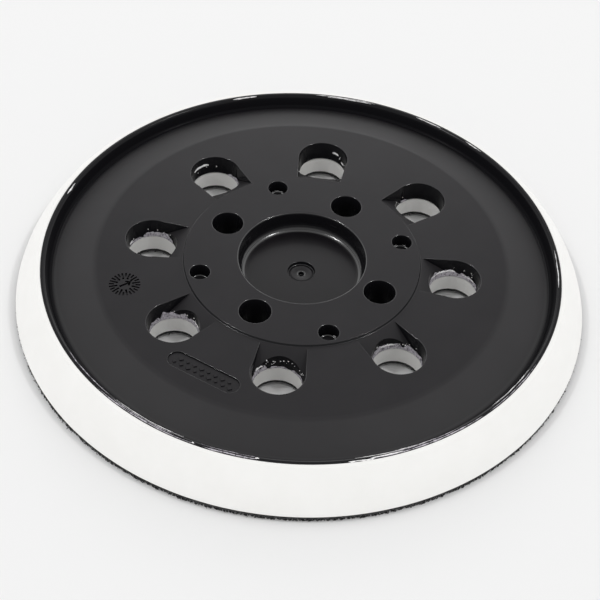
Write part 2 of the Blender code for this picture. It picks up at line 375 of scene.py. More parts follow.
def edge_levels(top, flare, steps=6):
    """Heights up a rounded upper edge, each with how far the edge has opened out there."""
    angles = [math.pi / 2 * i / steps for i in range(steps + 1)]
    return [(top - flare + flare * math.sin(a), flare - flare * math.cos(a)) for a in angles]


def add_scoop(shape, angle):
    """The slanting lead-in from the hub's edge down into a dust hole, with rounded edges along its sides."""
    inner, outer = HUB_RADIUS + 0.1, DUST_CIRCLE - 0.3
    half_start, half_end = 4.8, 5.52
    half_angle = math.asin(half_start / inner)
    levels = [(FLOOR - 6.0, 0.0)] + edge_levels(FLOOR, SCOOP_FLARE)
    levels += [(FLOOR + CLEAR, SCOOP_FLARE + 0.3), (FLOOR + 1.5, SCOOP_FLARE + 0.3)]
    rings = []
    for height, out in levels:
        arc = [on_circle(inner, half_angle * (i / 8 - 1), height) for i in range(17)]
        ring = [Vector((p.x, p.y * (1 + out / half_start), height)) for p in arc]
        rings.append(ring + [Vector((outer, side * (half_end + out), height)) for side in (1, -1)])
    scoop = bmesh.new()
    loft(scoop, rings)
    bmesh.ops.bisect_plane(
        scoop, geom=scoop.verts[:] + scoop.edges[:] + scoop.faces[:], clear_inner=True,
        plane_co=Vector((inner - 0.013, 0, FLOOR)) * MM,
        plane_no=(math.sin(SCOOP_SLOPE), 0, math.cos(SCOOP_SLOPE)),
    )
    bmesh.ops.holes_fill(scoop, edges=[edge for edge in scoop.edges if edge.is_boundary])
    bmesh.ops.rotate(scoop, verts=scoop.verts, matrix=Matrix.Rotation(angle, 3, "Z"))
    mesh = bpy.data.meshes.new("scoop")
    scoop.to_mesh(mesh)
    scoop.free()
    shape.from_mesh(mesh)
    bpy.data.meshes.remove(mesh)


def flat_run(start, end, height, pitch=1.4):
    """Points along a flat, so that a hole cut in it disturbs only the faces close by."""
    count = int((end - start) / pitch)
    return [(start + (end - start) * i / count, height, 0) for i in range(1, count)]


def plate_outline():
    """From the middle of the recess over the hub, floor, dished zone and rim, and back underneath."""
    return rounded([
        (0, GATE_PIT_FLOOR, 0), (0.55, GATE_PIT_FLOOR, 0.1), (0.62, GATE_FLOOR, 0.1),
        (1.0, GATE_FLOOR + 0.12, 0.1), (2.2, GATE_FLOOR + 0.2, 0.3), (2.85, GATE_FLOOR, 0.15),
        (GATE_RADIUS, RECESS_FLOOR, 0.08),
        *flat_run(GATE_RADIUS, RECESS_RADIUS - RECESS_FILLET, RECESS_FLOOR, 2.5),
        (RECESS_RADIUS, RECESS_FLOOR, RECESS_FILLET), (RECESS_RADIUS, HUB_TOP, RECESS_EDGE),
        *flat_run(RECESS_RADIUS + RECESS_EDGE, HUB_RADIUS - 0.3, HUB_TOP),
        (HUB_RADIUS - 0.2, HUB_TOP, 0.06), (HUB_RADIUS + 0.05, FLOOR, 0.1),
        *flat_run(HUB_RADIUS + 0.2, CREASE_RADIUS - 0.7, FLOOR),
        (CREASE_RADIUS, FLOOR, 5), (TROUGH_RADIUS, TROUGH_FLOOR, 0.7), (RIM_INSIDE, RIM_TOP, 0.75),
        (RIM_RADIUS, RIM_TOP, 0.18), (RIM_RADIUS, RIM_BOTTOM, 0.2),
        (TROUGH_UNDER_RADIUS, TROUGH_UNDERSIDE, 0),
        (CREASE_RADIUS, SKIN_UNDERSIDE, 0), (CUP_RADIUS, SKIN_UNDERSIDE, 0.4),
        (CUP_RADIUS, RECESS_UNDERSIDE, 0.4), (0, RECESS_UNDERSIDE, 0),
    ], math.radians(9))


def add_bosses(plate):
    """The sleeves and bosses that hang from the plate's skin, joined to it."""
    for circle, angles, radius, bottom in BOSSES:
        shape = bmesh.new()
        for angle in angles:
            cylinder(shape, circle, angle, bottom, BOSS_TOP, radius)
        boolean(plate, shape, "UNION")


def wall_radius(height):
    """A dust hole's radius at this height in the plate."""
    widening = DUST_TOP_RADIUS - DUST_RADIUS
    return DUST_RADIUS + widening * (height - SLEEVE_BOTTOM) / (FLOOR - SLEEVE_BOTTOM)


def cut_holes(plate):
    """Dust holes, screw sockets and locating holes, then the scoops that lead into the dust holes."""
    mouths = bmesh.new()
    for angle in DUST_ANGLES:
        bottom = SLEEVE_BOTTOM - 1.0
        foot = wall_radius(bottom)
        trumpet(mouths, DUST_CIRCLE, angle, bottom, foot, DUST_TOP_RADIUS, FLOOR, EDGE_FLARE)
    for angle in SCREW_ANGLES:
        bottom, foot = BOSS_BOTTOM - 1, SOCKET_RADIUS - 0.08
        trumpet(mouths, SCREW_CIRCLE, angle, bottom, foot, SOCKET_RADIUS, HUB_TOP, 0.25)
    for angle in LOCATING_ANGLES:
        trumpet(
            mouths, LOCATING_CIRCLE, angle, LOCATING_FLOOR, LOCATING_RADIUS - 0.03, LOCATING_RADIUS,
            HUB_TOP, 0.2, foot_fillet=0.4,
        )
    boolean(plate, mouths, "DIFFERENCE")
    scoops = bmesh.new()
    for angle in DUST_ANGLES:
        add_scoop(scoops, angle)
    boolean(plate, scoops, "DIFFERENCE")


def engrave_dial(plate):
    """A mould-date dial with ticks, dots and a pointer, and no text."""
    dial = Vector(on_circle(DIAL_CIRCLE, DIAL_ANGLE)[:2])
    cuts = bmesh.new()
    for k in range(DIAL_TICKS):
        around = math.tau * k / DIAL_TICKS
        length = TICK_LENGTHS[k % 2]
        middle = dial + heading(around) * (DIAL_RADIUS - length / 2)
        add_bar(cuts, middle, (length, TICK_WIDTH), around, FLOOR - TICK_DEPTH, FLOOR + 0.5)
    for k in range(DIAL_DOTS):
        around = math.tau * (k + 0.5) / DIAL_DOTS
        middle = dial + heading(around) * DOT_CIRCLE
        add_bar(cuts, middle, (DOT_WIDTH, DOT_WIDTH), around, FLOOR - DOT_DEPTH, FLOOR + 0.5)
    pointer = DIAL_ANGLE + math.radians(200)
    way = heading(pointer)
    add_bar(cuts, dial - way * 0.15, (2.2, 0.5), pointer, FLOOR - 0.55, FLOOR + 0.5)
    for side in (-1, 1):
        turned_away = pointer + side * math.radians(45)
        tip = dial + way * 1.25 - heading(turned_away) * 0.5
        add_bar(cuts, tip, (1.0, 0.42), turned_away, FLOOR - 0.53, FLOOR + 0.6)
    boolean(plate, cuts, "DIFFERENCE")


def engrave_field(plate):
    """A round-ended sunken field that holds two staggered rows of small raised diamonds, and no text."""
    middle = Vector(on_circle(FIELD_CIRCLE, FIELD_ANGLE)[:2])
    along = FIELD_ANGLE + math.pi / 2
    levels = [(FLOOR - FIELD_DEPTH, 0), *edge_levels(FLOOR, FIELD_EDGE, 3)]
    levels += [(FLOOR + CLEAR, 0.2), (FLOOR + 0.5, 0.2)]
    pocket = bmesh.new()
    loft(pocket, [
        stadium(middle, FIELD_LENGTH + 2 * out, FIELD_WIDTH + 2 * out, along, height)
        for height, out in levels
    ])
    boolean(plate, pocket, "DIFFERENCE")
    turn = Matrix.Rotation(along, 2)
    marks = bmesh.new()
    for k in range(FIELD_MARKS):
        across = FIELD_ROW if k % 2 else -FIELD_ROW
        at = middle + turn @ Vector((FIELD_PITCH * (k - FIELD_MARKS // 2), across))
        size = 0.6 + 0.25 * (k * 5 % 3) / 2
        add_bar(marks, at, (size, size), along + math.radians(45), FLOOR - 0.6, FLOOR - 0.12)
    boolean(plate, marks, "UNION")


# ---- The foam ----


def foam_outline():
    """From the hollow under the plate's middle, up the rim, over the shoulder and down the side."""
    inner = RIM_RADIUS + 0.015
    under_cup, under_skin = RECESS_UNDERSIDE - FOAM_GAP, SKIN_UNDERSIDE - FOAM_GAP
    corners = [
        (0, under_cup, 0), (CUP_RADIUS + FOAM_GAP, under_cup, 0.3),
        (CUP_RADIUS + FOAM_GAP, under_skin, 0.3), (CREASE_RADIUS, under_skin, 0),
        (TROUGH_UNDER_RADIUS, FOAM_UNDER_TROUGH, 0), (inner, FOAM_UNDER_RIM, 0.2),
        (inner, FOAM_TOP, 0.1), (FOAM_SHOULDER, FOAM_TOP - 0.06, 0.35), (PAD_RADIUS, FOAM_BOTTOM, 0),
    ]
    points = rounded(corners, math.radians(15))
    shoulder, foot = Vector(points[-2]), Vector((PAD_RADIUS, FOAM_BOTTOM + 0.15))
    outwards = Vector((shoulder.y - foot.y, foot.x - shoulder.x)).normalized()
    side = []
    for i in range(1, SIDE_STEPS + 1):
        share = i / SIDE_STEPS
        bulge = 4 * SIDE_BULGE * share * (1 - share)
        side.append(tuple(shoulder.lerp(foot, share) + outwards * bulge))
    underside = [(radius, FOAM_BOTTOM) for radius in (PAD_RADIUS - 0.05, PAD_RADIUS - 1.5, 0)]
    return points[:-1] + side + underside


def foam_wobble(radius, angle, height):
    """The cast side isn't quite true: long shallow waves, and finer ones near the shoulder and the foot."""
    if radius < RIM_RADIUS + 0.3:
        return radius, height
    side = 60
    long_wave = fractal(on_circle(side, angle, height), 28)
    fine = fractal(on_circle(side, angle, height * 2), 3.2)
    return min(radius + 0.05 * long_wave + 0.02 * fine, PAD_RADIUS), height + 0.015 * fine


def wall_wobble(centre_angle):
    """A dust hole's cut wall: torn cells and faint vertical drag marks."""
    centre = on_circle(DUST_CIRCLE, centre_angle)

    def wobble(radius, angle, height):
        here = centre + on_circle(DUST_RADIUS, angle, height)
        cells = fractal(here, 0.7, 2) * 0.045
        drag = fractal((here.x * 3, here.y * 3, height * 0.5), 1.6, 2) * 0.03
        return radius + cells + drag, height

    return wobble


def make_foam(surface):
    """The foam, with torn walls in its dust holes and room for the plate's sleeves and bosses."""
    shape = bmesh.new()
    lathe(shape, foam_outline(), FOAM_SEGMENTS, wobble=foam_wobble)
    foam = mesh_object("foam_body", shape)
    walls = bmesh.new()
    wall_height = SLEEVE_BOTTOM - FOAM_BOTTOM
    outline = [(0, FOAM_BOTTOM - 1), (DUST_RADIUS, FOAM_BOTTOM - 1)]
    outline += [(DUST_RADIUS, FOAM_BOTTOM + wall_height * i / 12) for i in range(13)]
    outline += [(DUST_RADIUS, HOLLOW_TOP), (0, HOLLOW_TOP)]
    for angle in DUST_ANGLES:
        lathe(walls, outline, FOAM_WALL_SEGMENTS, on_circle(DUST_CIRCLE, angle), wall_wobble(angle))
    for angle in SCREW_ANGLES:
        cylinder(walls, SCREW_CIRCLE, angle, FOAM_BOTTOM - 1, HOLLOW_TOP, SCREW_HEAD_RADIUS)
    boolean(foam, walls, "DIFFERENCE")
    for circle, angles, radius, bottom in BOSSES:
        pockets = bmesh.new()
        for angle in angles:
            cylinder(pockets, circle, angle, bottom - FOAM_GAP, HOLLOW_TOP + 0.1, radius + FOAM_GAP)
        boolean(foam, pockets, "DIFFERENCE")
    finish_piece(foam, surface, math.radians(50))
    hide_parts("foam_pad")


def from_front(degrees):
    """An angle about +Z from one that counts from the front view's right."""
    return math.radians(degrees + PLAN_TURN)


def add_flash_and_glint(shape, hole_angle, start, end, foot, tall, seed):
    """A ragged skin on a dust hole's wall, between two angles about the hole: foam flash, and among the pale
    ones also painted glints.
    """
    steps = max(6, int(abs(end - start) / math.radians(2.2)))
    centre = on_circle(DUST_CIRCLE, hole_angle)
    columns = []
    for k in range(steps + 1):
        share = k / steps
        around = start + (end - start) * share
        taper = min(1.0, 0.25 + 5 * share, 0.25 + 5 * (1 - share))
        ragged = 0.95 + 0.5 * fractal((share * steps * 0.13 + seed, seed * 1.7, 0), 1.0, 2)
        low = foot + 0.08 * fractal((share * steps * 0.3, seed, 4.0), 1.0, 2)
        top = low + max(0.07, tall * taper * ragged)
        proud = 0.1 + 0.07 * fractal((share * steps * 0.4, seed, 9.0), 1.0, 2)
        middle = (low + top) / 2
        section = (
            (-proud, low), (0.1, low), (0.1, top), (-proud * 0.6, top), (-proud * 1.3, middle),
        )
        columns.append([centre + on_circle(wall_radius(z) + out, around, z) for out, z in section])
    loft(shape, columns)


def add_painted_foot_highlight(shape, centre, radius, floor, rise, seed):
    """A fine pale line round the foot of a hole, made as foam: a painted highlight along the hole's bottom
    fillet.
    """
    columns = []
    steps = 60
    outer, bottom = radius + 0.1, floor - 0.1
    for k in range(steps + 1):
        around = math.radians(3 + 354 * k / steps + 180)
        wave = fractal((k * 0.17, seed, 0), 1.0, 2)
        inner, top = radius - 0.2 - 0.05 * wave, floor + rise * (1 + 0.4 * wave)
        section = ((inner, bottom), (outer, bottom), (outer, top), (radius - 0.05, top))
        columns.append([centre + on_circle(r, around, z) for r, z in section])
    loft(shape, columns)


def add_crumb(shape, hole_angle, around, height, size):
    """A crumb of foam stuck to a dust hole's wall."""
    at = (on_circle(DUST_CIRCLE, hole_angle) + on_circle(wall_radius(height) - 0.02, around, height)) * MM
    stretch = Matrix.Diagonal([size * random.uniform(0.5, 1) for _ in range(3)] + [1])
    matrix = Matrix.Translation(at) @ Matrix.Rotation(random.uniform(0, 6.3), 4, "Z") @ stretch
    made = bmesh.ops.create_icosphere(shape, subdivisions=1, radius=0.5 * MM, matrix=matrix)
    for vert in made["verts"]:
        vert.co += Vector([random.uniform(-0.08, 0.08) for _ in range(3)]) * size * MM


def add_lip_skin_and_glint(shape, start, end, radius, width, rise, seed):
    """A thin skin on the rim's lip, between two angles about the pad: foam, and among the pale ones also
    painted glints.
    """
    steps = max(8, int(abs(end - start) / math.radians(0.6)))
    columns = []
    for k in range(steps + 1):
        share = k / steps
        around = start + (end - start) * share
        taper = min(1.0, 5 * share + 0.1, 5 * (1 - share) + 0.1)
        ragged = max(0.15, 0.75 + 0.8 * fractal((share * 11 + seed, seed, 0), 1.0, 3))
        half = width * taper * ragged / 2
        drift = 0.08 * fractal((share * 3, seed, 5.0), 1.0, 2)
        top = RIM_TOP + rise * taper * (0.8 + 0.4 * fractal((share * 9, seed, 8.0), 1.0, 2))
        bottom = RIM_TOP - 0.4
        section = ((-half, bottom), (half, bottom), (half * 0.6, top), (-half * 0.6, top))
        columns.append([on_circle(radius + drift + r, around, z) for r, z in section])
    loft(shape, columns)


# ---- The film and the hook fabric ----


def punched_disc(name, outline, segments, dust_radius, screw_radius):
    """A disc with the dust holes and the holes for screw heads cut through it."""
    shape = bmesh.new()
    lathe(shape, outline, segments)
    disc = mesh_object(name, shape)
    holes = bmesh.new()
    low, high = min(z for _, z in outline) - 1, max(z for _, z in outline) + 1
    for angle in DUST_ANGLES:
        cylinder(holes, DUST_CIRCLE, angle, low, high, dust_radius)
    for angle in SCREW_ANGLES:
        cylinder(holes, SCREW_CIRCLE, angle, low, high, screw_radius)
    boolean(disc, holes, "DIFFERENCE")
    return disc


def clear_of_holes(point, margin):
    """Whether a point in plan is at least this far from every hole in the fabric."""
    for circle, angles, radius in (
        (DUST_CIRCLE, DUST_ANGLES, DUST_RADIUS), (SCREW_CIRCLE, SCREW_ANGLES, SCREW_HEAD_RADIUS),
    ):
        for angle in angles:
            if (point - on_circle(circle, angle)).length < radius + margin:
                return False
    return True


def tube(points, radii):
    """Vertices and faces of a closed thread through points."""
    sides = THREAD_SIDES
    verts, faces = [], []
    for i, point in enumerate(points):
        ahead = points[min(i + 1, len(points) - 1)] - points[max(i - 1, 0)]
        across = ahead.cross(Vector((0.31, 0.83, 0.46))).normalized()
        other = across.cross(ahead).normalized()
        for k in range(sides):
            around = math.tau * k / sides
            verts.append(point + (across * math.cos(around) + other * math.sin(around)) * radii[i])
    for i in range(len(points) - 1):
        for k in range(sides):
            a, b = i * sides + k, i * sides + (k + 1) % sides
            faces.append((a, b, b + sides, a + sides))
    faces.append(tuple(reversed(range(sides))))
    faces.append(tuple(range((len(points) - 1) * sides, len(points) * sides)))
    return verts, faces


class Threads:
    """Many closed threads gathered into one mesh."""

    def __init__(self):
        self.verts, self.faces = [], []

    def add(self, points, radii):
        verts, faces = tube(points, radii)
        first = len(self.verts)
        self.verts += [tuple(v * MM) for v in verts]
        self.faces += [tuple(first + i for i in face) for face in faces]

    def piece(self, name, surface):
        mesh = bpy.data.meshes.new(name)
        mesh.from_pydata(self.verts, [], self.faces)
        obj = bpy.data.objects.new(name, mesh)
        bpy.context.scene.collection.objects.link(obj)
        return finish_piece(obj, surface, math.radians(70), weighted=False)


def add_hook(threads, foot, facing, thick, reach, depth):
    """A cut loop of nylon that stands down from the fabric and curls over at its end."""
    out = on_circle(1, facing)
    # Each row: how far down, how far out, how thick.
    curl = (
        (0, 0, 1), (0.45, 0.06, 1), (0.85, 0.35, 1), (1, 0.75, 0.95), (0.86, 1.1, 0.85), (0.6, 1.15, 0.6),
    )
    points = [foot - Vector((0, 0, down * depth)) + out * along * reach for down, along, _ in curl]
    threads.add(points, [thick * share for _, _, share in curl])


def make_hooks(surface):
    """The hooks of the pile, in staggered rows, over the fabric's underside."""
    threads = Threads()
    count = int(PAD_RADIUS / HOOK_PITCH) + 1
    for row in range(-count, count + 1):
        for column in range(-count, count + 1):
            at = Vector((column * HOOK_PITCH + (row % 2) * HOOK_PITCH / 2, row * HOOK_PITCH, 0))
            at += Vector((random.uniform(-0.2, 0.2), random.uniform(-0.2, 0.2), 0))
            if at.length > PAD_RADIUS - 1.4 or not clear_of_holes(at, 0.35):
                continue
            foot = Vector((at.x, at.y, GROUND_BOTTOM + 0.05))
            facing = random.choice((0, math.pi)) + random.uniform(-0.35, 0.35)
            add_hook(threads, foot, facing, 0.075, 0.42, random.uniform(0.68, 0.74))
    return threads.piece("hook_pile", surface)


def make_edge(surface):
    """The disc's cut edge: the outermost hooks, side by side, with cut and frayed threads among them."""
    threads = Threads()
    for inset, pitch in EDGE_RINGS:
        ring = PAD_RADIUS - inset
        count = int(math.tau * ring / pitch)
        for k in range(count):
            angle = math.tau * (k + random.uniform(-0.3, 0.3)) / count
            foot = on_circle(ring + random.uniform(-0.12, 0.12), angle, GROUND_BOTTOM + 0.08)
            depth = random.uniform(0.62, 0.76)
            facing = angle + math.pi / 2 * random.choice((-1, 1)) + random.uniform(-0.6, 0.6)
            add_hook(threads, foot, facing, 0.12, 0.34, depth)
    for _ in range(FRAY_TRIES):
        angle = math.tau * random.random()
        frayed = math.exp(-((math.degrees(angle) - FRAYED_SIDE) / FRAYED_SPREAD) ** 2)
        if random.random() > 0.12 + frayed:
            continue
        height = random.uniform(0.15, 1.2)
        foot = on_circle(PAD_RADIUS - 0.2, angle, height)
        out = on_circle(1, angle + random.uniform(-0.9, 0.9))
        length = random.uniform(0.28, 0.6)
        lift = random.uniform(-0.2, 0.25)
        middle = foot + out * length * 0.55 + Vector((0, 0, 0.06))
        middle.z = max(FRAY_LOWEST, middle.z)
        tip = foot + out * length
        tip.z = max(FRAY_LOWEST, height + lift)
        threads.add([foot, middle, tip], [0.05, 0.045, 0.03])
    return threads.piece("hook_edge", surface)


# ---- Surfaces ----

# How strongly each part of the plate mirrors the light, and how rough it is.
RECESS_GLOSS, FLAT_GLOSS, DISH_GLOSS = 0.29, 0.15, 0.4
WALL_GLOSS, EDGE_GLOSS = 0.1, 1.35
RIM_WALL_GLOSS, LIP_GLOSS = 0.03, 0.2
SMOOTH_ROUGHNESS, GRAIN_ROUGHNESS, DISH_ROUGHNESS = 0.2, 0.3, 0.5

# The plate's colours: a black painted darker as shade for its walls, rounded edges and lip, and the darker
# and paler ends of its open faces, with the recess's pair painted darker as shade.
WALL_SHADE_BLACK = (0.0062, 0.0060, 0.0072)
RECESS_SHADE_BLACKS = (0.0056, 0.0049, 0.0061), (0.0080, 0.0070, 0.0086)
FACE_BLACKS = (0.0195, 0.0186, 0.0203), (0.0225, 0.0214, 0.0233)

FOAM_WHITES = (0.895, 0.890, 0.870), (0.915, 0.910, 0.893)
STAIN_COLOURS = (0.09, 0.085, 0.10), (0.56, 0.53, 0.58)
# The pale skins' colours, also given to painted glints and highlights.
SKIN_AND_GLINT_COLOURS = (0.22, 0.21, 0.25), (0.93, 0.92, 0.92)
WEAVE_COLOURS = (0.012, 0.012, 0.013), (0.035, 0.034, 0.036)
FILM_COLOUR = (0.03, 0.03, 0.032)
THREAD_COLOUR = (0.009, 0.009, 0.010)


def new_surface(name):
    """A material, its nodes, its shader and the place on the object in metres."""
    surface = bpy.data.materials.new(name)
    surface.use_nodes = True
    tree = surface.node_tree
    shader = tree.nodes["Principled BSDF"]
    place = tree.nodes.new("ShaderNodeTexCoord")
    return surface, tree, shader, place.outputs["Object"]


def noise_of(tree, place, size, detail=3.0, roughness=0.55):
    """Noise whose lumps are about size millimetres across."""
    node = tree.nodes.new("ShaderNodeTexNoise")
    node.inputs["Scale"].default_value = 1 / (size * MM)
    node.inputs["Detail"].default_value = detail
    node.inputs["Roughness"].default_value = roughness
    tree.links.new(place, node.inputs["Vector"])
    return node.outputs["Fac"]


def spread(tree, value, low, high, at_low=0.3, at_high=0.7):
    """Maps a value between at_low and at_high on to low to high, and holds it there beyond them."""
    node = tree.nodes.new("ShaderNodeMapRange")
    node.inputs["From Min"].default_value = at_low
    node.inputs["From Max"].default_value = at_high
    node.inputs["To Min"].default_value = low
    node.inputs["To Max"].default_value = high
    tree.links.new(value, node.inputs["Value"])
    return node.outputs["Result"]


def blend(tree, share, first, second):
    """Mixes two colours by share."""
    node = tree.nodes.new("ShaderNodeMix")
    node.data_type = "RGBA"
    for socket, colour in (("A", first), ("B", second)):
        target = next(s for s in node.inputs if s.name == socket and s.type == "RGBA")
        if isinstance(colour, bpy.types.NodeSocket):
            tree.links.new(colour, target)
        else:
            target.default_value = (*colour, 1.0)
    tree.links.new(share, next(s for s in node.inputs if s.name == "Factor" and s.type == "VALUE"))
    return next(s for s in node.outputs if s.type == "RGBA")


def bump(tree, heights, distance):
    """A bump of distance millimetres from several (height, strength) pairs, one on another."""
    normal = None
    for height, strength in heights:
        node = tree.nodes.new("ShaderNodeBump")
        node.inputs["Strength"].default_value = strength
        node.inputs["Distance"].default_value = distance * MM
        tree.links.new(height, node.inputs["Height"])
        if normal:
            tree.links.new(normal, node.inputs["Normal"])
        normal = node.outputs["Normal"]
    return normal


def arithmetic(tree, operation, first, second=0.0):
    """One operation on sockets or plain numbers."""
    node = tree.nodes.new("ShaderNodeMath")
    node.operation = operation
    for socket, value in zip(node.inputs, (first, second)):
        if isinstance(value, bpy.types.NodeSocket):
            tree.links.new(value, socket)
        else:
            socket.default_value = value
    return node.outputs["Value"]


def part_way(tree, share, first, second):
    """The value that lies share of the way from first to second."""
    step = arithmetic(tree, "SUBTRACT", second, first)
    return arithmetic(tree, "ADD", first, arithmetic(tree, "MULTIPLY", step, share))


def step_at(tree, reach, radius, before, after):
    """A share that rises from 0 to 1 with the distance from the axis, around a radius in millimetres."""
    return spread(tree, reach, 0, 1, (radius - before) * MM, (radius + after) * MM)


def plate_surface():
    """Black nylon: a fine grain on the open faces, and smoother on the rounded edges, walls and lip. Its
    walls, edges, lip and recess, and half its dish, are painted darker as shade.
    """
    surface, tree, shader, place = new_surface("black_nylon")
    clouds = noise_of(tree, place, 9.0, 4)
    grain = noise_of(tree, place, 0.35, 3)
    facing, split = tree.nodes.new("ShaderNodeNewGeometry"), tree.nodes.new("ShaderNodeSeparateXYZ")
    tree.links.new(facing.outputs["Normal"], split.inputs["Vector"])
    upward = arithmetic(tree, "ABSOLUTE", split.outputs["Z"])
    where = tree.nodes.new("ShaderNodeSeparateXYZ")
    tree.links.new(place, where.inputs["Vector"])
    squares = [arithmetic(tree, "MULTIPLY", where.outputs[axis], where.outputs[axis]) for axis in "XY"]
    reach = arithmetic(tree, "SQRT", arithmetic(tree, "ADD", *squares))

    # Shares from 0 to 1: which part of the plate a point belongs to.
    inside_lip = spread(tree, reach, 1, 0, (TROUGH_RADIUS - 1.5) * MM, (TROUGH_RADIUS - 0.35) * MM)
    dish = step_at(tree, reach, CREASE_RADIUS, 0.8, 0.6)
    outside = step_at(tree, reach, RECESS_RADIUS, 0.6, 0.6)
    flat = spread(tree, upward, 0, 1, 0.955, 0.965)
    from_ramp = arithmetic(tree, "ABSOLUTE", arithmetic(tree, "SUBTRACT", upward, math.cos(SCOOP_SLOPE)))
    ramp = spread(tree, from_ramp, 1, 0, 0.012, 0.016)
    grained = arithmetic(tree, "MULTIPLY", arithmetic(tree, "MAXIMUM", flat, ramp), inside_lip)
    coarse = arithmetic(tree, "MAXIMUM", dish, ramp)

    drift = spread(tree, clouds, 0, 1)
    # Painted shade: the recess takes a darker black, and the dish is painted halfway to it.
    unshaded_share = arithmetic(tree, "SUBTRACT", outside, arithmetic(tree, "MULTIPLY", dish, 0.5))
    recess_shade_tone, face_tone = blend(tree, drift, *RECESS_SHADE_BLACKS), blend(tree, drift, *FACE_BLACKS)
    tone = blend(tree, unshaded_share, recess_shade_tone, face_tone)
    # Painted shade: all but the open flats and ramps, that is the walls, rounded edges and lip, take the
    # darker wall black.
    tree.links.new(blend(tree, grained, WALL_SHADE_BLACK, tone), shader.inputs["Base Color"])

    open_face = part_way(tree, dish, part_way(tree, outside, RECESS_GLOSS, FLAT_GLOSS), DISH_GLOSS)
    edges = spread(tree, upward, WALL_GLOSS, EDGE_GLOSS, 0.62, 0.87)
    lip_start, lip_end = (RIM_INSIDE - 0.3) * MM, (RIM_INSIDE + 0.15) * MM
    on_lip = spread(tree, reach, RIM_WALL_GLOSS, LIP_GLOSS, lip_start, lip_end)
    gloss = part_way(tree, inside_lip, on_lip, part_way(tree, grained, edges, open_face))
    tree.links.new(gloss, shader.inputs["Specular IOR Level"])
    grain_rough = part_way(tree, coarse, GRAIN_ROUGHNESS, DISH_ROUGHNESS)
    rough = part_way(tree, grained, SMOOTH_ROUGHNESS, grain_rough)
    tree.links.new(rough, shader.inputs["Roughness"])
    normal = bump(tree, [(grain, 0.10), (noise_of(tree, place, 2.4, 2), 0.10)], 0.05)
    tree.links.new(normal, shader.inputs["Normal"])
    return surface


def foam_surface():
    """White foam, with fine open cells and a faint change of tone."""
    surface, tree, shader, place = new_surface("white_foam")
    clouds = noise_of(tree, place, 6.0, 3)
    cells = noise_of(tree, place, 0.22, 3)
    colour = blend(tree, spread(tree, clouds, 0, 1), *FOAM_WHITES)
    tree.links.new(colour, shader.inputs["Base Color"])
    shader.inputs["Roughness"].default_value = 0.8
    shader.inputs["Specular IOR Level"].default_value = 0.25
    normal = bump(tree, [(cells, 0.35), (noise_of(tree, place, 1.4, 3), 0.2)], 0.05)
    tree.links.new(normal, shader.inputs["Normal"])
    return surface


def flash_surface():
    """Stained foam skin: grey-lilac, with torn dark and pale flecks."""
    surface, tree, shader, place = new_surface("foam_flash")
    flecks = noise_of(tree, place, 0.45, 4, 0.65)
    colour = blend(tree, spread(tree, flecks, 0, 1, 0.36, 0.54), *STAIN_COLOURS)
    tree.links.new(colour, shader.inputs["Base Color"])
    shader.inputs["Roughness"].default_value = 0.45
    tree.links.new(bump(tree, [(flecks, 0.8)], 0.12), shader.inputs["Normal"])
    return surface


def skin_and_glint_surface():
    """Thin torn foam, also given to painted glints and highlights: nearly white, with greyer patches."""
    surface, tree, shader, place = new_surface("foam_skin_and_glint")
    tears = noise_of(tree, place, 0.5, 3, 0.6)
    colour = blend(tree, spread(tree, tears, 0, 1, 0.28, 0.44), *SKIN_AND_GLINT_COLOURS)
    tree.links.new(colour, shader.inputs["Base Color"])
    shader.inputs["Roughness"].default_value = 0.45
    tree.links.new(bump(tree, [(tears, 0.5)], 0.08), shader.inputs["Normal"])
    return surface


def plain_surface(name, colour, roughness):
    """One colour, a little darker here and there, with a fine bump."""
    surface, tree, shader, place = new_surface(name)
    lumps = noise_of(tree, place, 0.3, 3)
    darker = tuple(c * 0.7 for c in colour)
    tree.links.new(blend(tree, spread(tree, lumps, 0, 1), darker, colour), shader.inputs["Base Color"])
    shader.inputs["Roughness"].default_value = roughness
    tree.links.new(bump(tree, [(lumps, 0.4)], 0.06), shader.inputs["Normal"])
    return surface


def weave_surface():
    """The fabric's ground: crossed ribs of yarn, about 0.8 mm apart."""
    surface, tree, shader, place = new_surface("hook_ground")
    waves = []
    for axis in ("X", "Y"):
        wave = tree.nodes.new("ShaderNodeTexWave")
        wave.bands_direction = axis
        wave.inputs["Scale"].default_value = 1 / (2.5 * MM)
        wave.inputs["Distortion"].default_value = 0.6
        tree.links.new(place, wave.inputs["Vector"])
        waves.append(wave.outputs["Fac"])
    share = spread(tree, waves[0], 0, 1, 0.2, 0.8)
    tree.links.new(blend(tree, share, *WEAVE_COLOURS), shader.inputs["Base Color"])
    shader.inputs["Roughness"].default_value = 0.6
    tree.links.new(bump(tree, [(waves[0], 0.6), (waves[1], 0.6)], 0.08), shader.inputs["Normal"])
    return surface


# ---- Making it ----


def make_plate():
    """The moulded plate, with its bosses, holes, scoops and marks."""
    shape = bmesh.new()
    lathe(shape, plate_outline(), TURNED_SEGMENTS)
    plate = mesh_object("plate_body", shape)
    add_bosses(plate)
    cut_holes(plate)
    engrave_dial(plate)
    engrave_field(plate)
    finish_piece(plate, plate_surface(), weighted=False)
    level_flats(plate)
    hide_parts("backing_plate")


